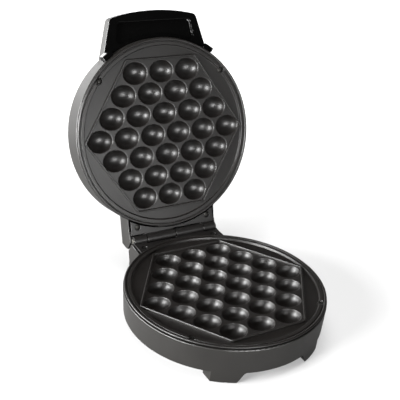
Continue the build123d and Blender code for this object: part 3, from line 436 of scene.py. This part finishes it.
def on_cooking_side(face):
    """Whether the new cooking face takes a face of the casting over."""
    middle = face.calc_center_median()
    radius = middle.xy.length
    if any((middle.xy - spot.xy).length < SCREW_HOLE + HOLE_PLAY for spot in screw_spots):
        return middle.z < PLATE_BACK - TOUCH
    if middle.z > BEAD_UNDER - TOUCH and RIM_RADIUS - BEAD_WIDTH < radius < BEAD_MIDDLE + TOUCH:
        return False
    return middle.z < RECESS_LEVEL + TOUCH or in_hollow(middle)


def turned_hollow():
    """The mesh of one hollow with its rounded rim."""
    half_width = HOLLOW_WIDTH / 2
    start = math.asin((FLAT_LEVEL + HOLLOW_RIM_ROUND - HOLLOW_LEVEL) / half_width)
    neck = half_width * math.cos(start)
    profile = [(neck + HOLLOW_RIM_ROUND + HOLLOW_RIM_STRIP, FLAT_LEVEL)]
    for turn in range(0, 90, HOLLOW_RIM_STEP):
        angle = math.radians(turn)
        profile.append((
            neck + HOLLOW_RIM_ROUND * (1 - math.sin(angle)),
            FLAT_LEVEL + HOLLOW_RIM_ROUND * (1 - math.cos(angle)),
        ))
    for ring in range(HOLLOW_RINGS + 1):
        angle = start + (math.pi / 2 - start) * ring / HOLLOW_RINGS
        profile.append((half_width * math.cos(angle), HOLLOW_LEVEL + half_width * math.sin(angle)))
    hollow = turned(profile, HOLLOW_SEGMENTS)
    hollow.transform(Matrix.Scale(HOLLOW_LENGTH / HOLLOW_WIDTH, 4, (1, 0, 0)))
    return hollow


def draw_cooking_face(shape):
    """Add the hollows, the step, the land, the groove and the bead to a shape, and join them by the flat."""
    hollow = turned_hollow()
    for spot in hollow_spots:
        hollow.transform(Matrix.Translation(spot))
        shape.from_mesh(hollow)
        hollow.transform(Matrix.Translation(-spot))
    bead = [
        (BEAD_MIDDLE + BEAD_WIDTH / 2 * math.cos(math.radians(turn)),
         BEAD_LEVEL - BEAD_HEIGHT * math.sin(math.radians(turn)))
        for turn in BEAD_TURNS
    ]
    shape.from_mesh(turned([(BEAD_FOOT, BEAD_UNDER), *bead, *GROOVE, *LAND, *STEP], RIM_SEGMENTS))
    close_at(shape, FLAT_LEVEL, (0, 0, -1))
    close_at(shape, BEAD_UNDER, (0, 0, 1))


def hexagon_ridge():
    """The mesh of the narrow hexagon, with its corners and edges rounded."""
    shape = bmesh.new()
    corners = [
        shape.verts.new((x, y, FLAT_LEVEL + RIDGE_SINK)) for x, y in (
            (RIDGE_END, 0), (RIDGE_CORNER, RIDGE_SIDE), (-RIDGE_CORNER, RIDGE_SIDE),
            (-RIDGE_END, 0), (-RIDGE_CORNER, -RIDGE_SIDE), (RIDGE_CORNER, -RIDGE_SIDE),
        )
    ]
    shape.faces.new(corners)
    bmesh.ops.bevel(
        shape, geom=corners, offset=RIDGE_CORNER_ROUND, offset_type="OFFSET", segments=4, profile=0.5,
        affect="VERTICES", material=-1,
    )
    inside = max(shape.faces, key=lambda face: face.calc_area())
    ring = bmesh.ops.inset_region(
        shape, faces=[inside], thickness=RIDGE_WIDTH, use_even_offset=True, use_boundary=True
    )["faces"]
    bmesh.ops.delete(shape, geom=[inside], context="FACES_ONLY")
    raised = bmesh.ops.extrude_face_region(shape, geom=ring)["geom"]
    crest = [part for part in raised if isinstance(part, bmesh.types.BMVert)]
    bmesh.ops.translate(shape, vec=(0, 0, RIDGE_LEVEL - FLAT_LEVEL - RIDGE_SINK), verts=crest)
    crest_edges = [
        edge for edge in shape.edges
        if edge.calc_face_angle(0) > EDGE_ANGLE
        and all(abs(vertex.co.z - RIDGE_LEVEL) < TOUCH for vertex in edge.verts)
    ]
    bmesh.ops.bevel(
        shape, geom=crest_edges, offset=RIDGE_EDGE_ROUND, offset_type="OFFSET", segments=3, profile=0.5,
        affect="EDGES", material=-1,
    )
    bmesh.ops.recalc_face_normals(shape, faces=shape.faces)
    return as_mesh(shape, "ridge")


def screw_recess_cutter():
    """The two stepped recesses for the plate's screws, as solids to cut with."""
    shape = bmesh.new()
    for spot in screw_spots:
        cutter = turned([
            (0, -CUT_PAST), (RECESS_RADIUS, -CUT_PAST), (RECESS_RADIUS, RECESS_LEVEL - RECESS_BEVEL),
            (RECESS_RADIUS - RECESS_BEVEL, RECESS_LEVEL), (SCREW_HOLE, RECESS_LEVEL),
            (SCREW_HOLE, PLATE_BACK + CUT_PAST), (0, PLATE_BACK + CUT_PAST),
        ], RECESS_SEGMENTS)
        cutter.transform(Matrix.Translation(spot))
        shape.from_mesh(cutter)
    bmesh.ops.recalc_face_normals(shape, faces=shape.faces)
    return shape


def cooking_casting():
    """The mesh of the casting: the CAD plate's own back, with a finer cooking face."""
    shape = merged_copy("lower_plate")
    shape.transform(Matrix.Scale(1 / MM, 4) @ LOWER_HALF.inverted())
    bmesh.ops.delete(
        shape, geom=[face for face in shape.faces if on_cooking_side(face)], context="FACES")
    close_at(shape, PLATE_BACK, (0, 0, 1))
    draw_cooking_face(shape)
    bmesh.ops.recalc_face_normals(shape, faces=shape.faces)
    blank = as_object(shape, "casting_blank")
    cutter = as_object(screw_recess_cutter(), "recess_cutter")
    cut = blank.modifiers.new("Screw recesses", "BOOLEAN")
    cut.operation = "DIFFERENCE"
    cut.solver = "EXACT"
    cut.object = cutter
    casting = bpy.data.meshes.new_from_object(
        blank.evaluated_get(bpy.context.evaluated_depsgraph_get()))
    bpy.data.objects.remove(blank)
    bpy.data.objects.remove(cutter)
    return casting


casting = cooking_casting()
ridge = hexagon_ridge()
for side, half in (("lower", LOWER_HALF), ("upper", UPPER_HALF)):
    plate = bmesh.new()
    plate.from_mesh(casting)
    plate.from_mesh(ridge)
    plate.transform(half @ Matrix.Scale(MM, 4))
    show_for(side + "_plate", side + "_plate_casting", plate)
show_with_rounded_edges("base_housing", "base_moulding", MOULDED_ROUND)
show_with_rounded_edges("lid_housing", "lid_moulding", MOULDED_ROUND)
show_with_rounded_edges("handle_cover", "handle_cover_moulding", POLISHED_ROUND)
show_with_rounded_edges("lower_hinge_leaf", "lower_leaf_pressing", PRESSED_ROUND)
show_with_rounded_edges("upper_hinge_leaf", "upper_leaf_pressing", PRESSED_ROUND)


# Floor

# The camera sees the floor's shadow near the object and pure white further off. Other rays meet a darker
# floor, so that it doesn't light the object from below.
FLOOR_HALF_SIDE = 5.0
WHITE_FROM = 0.2
WHITE_AT = 0.7
NEAR_LIFT = 0.28


def white_floor():
    """A pale material that keeps shadows and fades to white away from the middle."""
    material = bpy.data.materials.new("white_floor")
    material.use_nodes = True
    tree = material.node_tree
    tree.nodes.clear()
    path = add(tree, "LightPath")
    reach = add(
        tree, "VectorMath", {0: add(tree, "TexCoord").outputs["Object"]}, operation="LENGTH")
    far = add(tree, "MapRange", {
        "Value": reach.outputs["Value"], "From Min": WHITE_FROM, "From Max": WHITE_AT,
        "To Min": NEAR_LIFT, "To Max": 1.0,
    })
    darker = add(tree, "BsdfDiffuse", {"Color": srgb("#646464")})
    paler = add(tree, "BsdfDiffuse", {"Color": srgb("#8e8e8e")})
    lift = add(tree, "Emission", {"Color": srgb("#ffffff"), "Strength": far.outputs[0]})
    lifted = add(tree, "AddShader", {0: paler.outputs[0], 1: lift.outputs[0]})
    seen = add(tree, "MixShader", {
        0: path.outputs["Is Camera Ray"], 1: darker.outputs[0], 2: lifted.outputs[0],
    })
    add(tree, "OutputMaterial", {"Surface": seen.outputs[0]})
    return material


floor_shape = bmesh.new()
bmesh.ops.create_grid(floor_shape, x_segments=2, y_segments=2, size=FLOOR_HALF_SIDE)
floor = as_object(floor_shape, "floor")
floor.data.materials.append(white_floor())


# Backdrop and light

# The room lights the object only a little. It is white to the camera, and so is a low screen behind the
# object to mirrored rays. The screen's edges are parts of a ray's direction: it comes in from SCREEN_SIDE
# to SCREEN_BACK along Y, and goes out from SCREEN_TOP to SCREEN_END along Z.
ROOM_STRENGTH = 0.015
SCREEN_SIDE = -0.1
SCREEN_BACK = 0.5
SCREEN_TOP = 0.1
SCREEN_END = 0.4


def studio_world():
    """A dim room with a white screen."""
    world = bpy.data.worlds.new("studio")
    world.use_nodes = True
    tree = world.node_tree
    tree.nodes.clear()
    path = add(tree, "LightPath")
    direction = add(tree, "SeparateXYZ", {"Vector": add(tree, "TexCoord").outputs["Generated"]})
    behind = add(tree, "MapRange", {
        "Value": direction.outputs["Y"], "From Min": SCREEN_SIDE, "From Max": SCREEN_BACK,
        "To Min": 0.0, "To Max": 1.0,
    })
    low = add(tree, "MapRange", {
        "Value": direction.outputs["Z"], "From Min": SCREEN_TOP, "From Max": SCREEN_END,
        "To Min": 1.0, "To Max": 0.0,
    })
    backdrop = add(tree, "Math", {0: behind.outputs[0], 1: low.outputs[0]}, operation="MULTIPLY")
    mirrored = add(tree, "Math", {
        0: path.outputs["Is Glossy Ray"], 1: path.outputs["Is Transmission Ray"],
    }, operation="MAXIMUM")
    reflected = add(tree, "Math", {0: mirrored.outputs[0], 1: backdrop.outputs[0]}, operation="MULTIPLY")
    white = add(tree, "Math", {
        0: path.outputs["Is Camera Ray"], 1: reflected.outputs[0],
    }, operation="MAXIMUM")
    room = add(tree, "Background", {"Color": srgb("#ffffff"), "Strength": ROOM_STRENGTH})
    screen = add(tree, "Background", {"Color": srgb("#ffffff"), "Strength": 1.0})
    mixed = add(tree, "MixShader", {0: white.outputs[0], 1: room.outputs[0], 2: screen.outputs[0]})
    add(tree, "OutputWorld", {"Surface": mixed.outputs[0]})
    return world


LIGHT_TARGET = (0, 0.04, 0.12)


def soft_light(name, place, size, watts):
    """A soft box that faces the middle of the object."""
    data = bpy.data.lights.new(name, "AREA")
    data.shape = "RECTANGLE"
    data.size, data.size_y = size
    data.energy = watts
    light = bpy.data.objects.new(name, data)
    bpy.context.scene.collection.objects.link(light)
    facing = (Vector(place) - Vector(LIGHT_TARGET)).to_track_quat("Z", "Y")
    light.matrix_world = Matrix.Translation(place) @ facing.to_matrix().to_4x4()
    light.visible_camera = False
    return light


bpy.context.scene.world = studio_world()
# The front and left lights give each hollow its two highlights.
soft_light("front_light", (-0.104, -1.404, 0.251), (0.48, 0.48), 35)
soft_light("left_light", (-1.424, -0.266, 0.458), (0.65, 0.75), 118)
# The left rear light lifts the left walls.
soft_light("left_rear_light", (-1.3, 0.7, 0.25), (0.9, 0.5), 75)
# The top light fills the shadows. It doesn't show in the hollows, where it would be a third highlight.
top_light = soft_light("top_light", (0.2, 0.1, 1.9), (1.6, 1.6), 80)
top_light.visible_glossy = False
# The back light edges the rims.
soft_light("back_light", (-0.3, 2.0, 0.22), (3.0, 0.42), 12)


# Camera

CAMERA_PLACE = (-0.36664, -0.59321, 0.46185)
CAMERA_BACK = (-0.463, -0.763, 0.451)
CAMERA_ROLL = math.radians(4.96)
CAMERA_LENS = 70.88
CAMERA_SENSOR = 36

back = Vector(CAMERA_BACK).normalized()
right = Vector((-back.y, back.x, 0)).normalized()
up = back.cross(right)
across = right * math.cos(CAMERA_ROLL) + up * math.sin(CAMERA_ROLL)
upright = up * math.cos(CAMERA_ROLL) - right * math.sin(CAMERA_ROLL)
camera_data = bpy.data.cameras.new("camera")
camera_data.sensor_width = CAMERA_SENSOR
camera_data.lens = CAMERA_LENS
camera = bpy.data.objects.new("camera", camera_data)
bpy.context.scene.collection.objects.link(camera)
camera.matrix_world = Matrix.Translation(CAMERA_PLACE) @ Matrix(
    (across, upright, back)).transposed().to_4x4()
bpy.context.scene.camera = camera
bpy.context.scene.view_settings.view_transform = "Standard"
